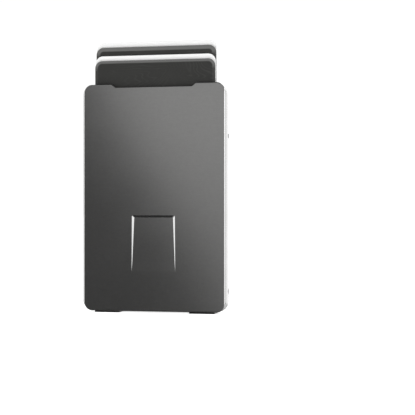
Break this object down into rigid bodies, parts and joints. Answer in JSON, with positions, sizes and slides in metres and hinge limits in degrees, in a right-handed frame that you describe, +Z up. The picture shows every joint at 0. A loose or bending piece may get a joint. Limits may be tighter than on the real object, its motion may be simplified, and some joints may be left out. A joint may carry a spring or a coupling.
{
  "type": "minimalist wallet",
  "caption": "Slim metal card wallet: sliding front plate with thumb groove, side rails, cards fanned out of the top, sprung money clip with a folded banknote on the back.",
  "frame": {"origin": "middle of the footprint, on the surface the upright wallet stands on", "axes": "+Z up along the cards, X across the width, -Y out of the front face, +Y towards the money clip"},
  "size_m": [0.065, 0.0116, 0.1186],
  "materials": {
    "plate": "fine bead-blasted, dark grey anodised",
    "rail": "polished aluminium",
    "clip": "satin black coated spring steel",
    "screw": "bright steel",
    "spring": "bare spring steel",
    "guide": "moulded black plastic",
    "lifter": "moulded dark grey plastic",
    "pad": "thin black felt",
    "card_dark": "fine-grained dark grey card",
    "card_white": "plain white card",
    "note": null
  },
  "bodies": {
    "frame": {"back_plate": "plate", "left_side_rail": "rail", "right_side_rail": "rail", "left_card_guide": "guide", "right_card_guide": "guide", "left_card_spring": "spring", "right_card_spring": "spring", "left_bottom_block": "guide", "right_bottom_block": "guide", "rear_card_pad": "pad", "rail_screws": "screw", "guide_screws": "screw", "clip_screws": "screw", "money_clip_foot": "clip"},
    "slider": {"front_plate": "plate", "front_card_pad": "pad", "card_lifter": "lifter", "lifter_detent_springs": "spring", "lifter_screws": "screw", "slider_stop_lugs": "lifter"},
    "card_1": {"card_1": "card_dark"},
    "card_2": {"card_2": "card_white"},
    "card_3": {"card_3": "card_dark"},
    "card_4": {"card_4": "card_white"},
    "clip_leaf": {"money_clip_leaf": "clip"},
    "banknote": {"banknote": "note"}
  },
  "joints": [
    {"name": "front_slide", "type": "slide", "parent": "frame", "child": "slider", "axis": [0, 0, 1], "range_m": [0, 0.0213]},
    {"name": "card_1_slide", "type": "slide", "parent": "frame", "child": "card_1", "axis": [0, 0, 1], "range_m": [-0.013, 0.04]},
    {"name": "card_2_slide", "type": "slide", "parent": "frame", "child": "card_2", "axis": [0, 0, 1], "range_m": [-0.0152, 0.04]},
    {"name": "card_3_slide", "type": "slide", "parent": "frame", "child": "card_3", "axis": [0, 0, 1], "range_m": [-0.0191, 0.04]},
    {"name": "card_4_slide", "type": "slide", "parent": "frame", "child": "card_4", "axis": [0, 0, 1], "range_m": [-0.0213, 0.04]},
    {"name": "clip_flex", "type": "hinge", "parent": "frame", "child": "clip_leaf", "pos_m": [0, 0.00546, 0.00467], "axis": [-1, 0, 0], "range_deg": [0, 8], "stiffness_Nm_per_rad": 3},
    {"name": "banknote_slide", "type": "slide", "parent": "frame", "child": "banknote", "axis": [0, 0, 1], "range_m": [0, 0.045]}
  ]
}
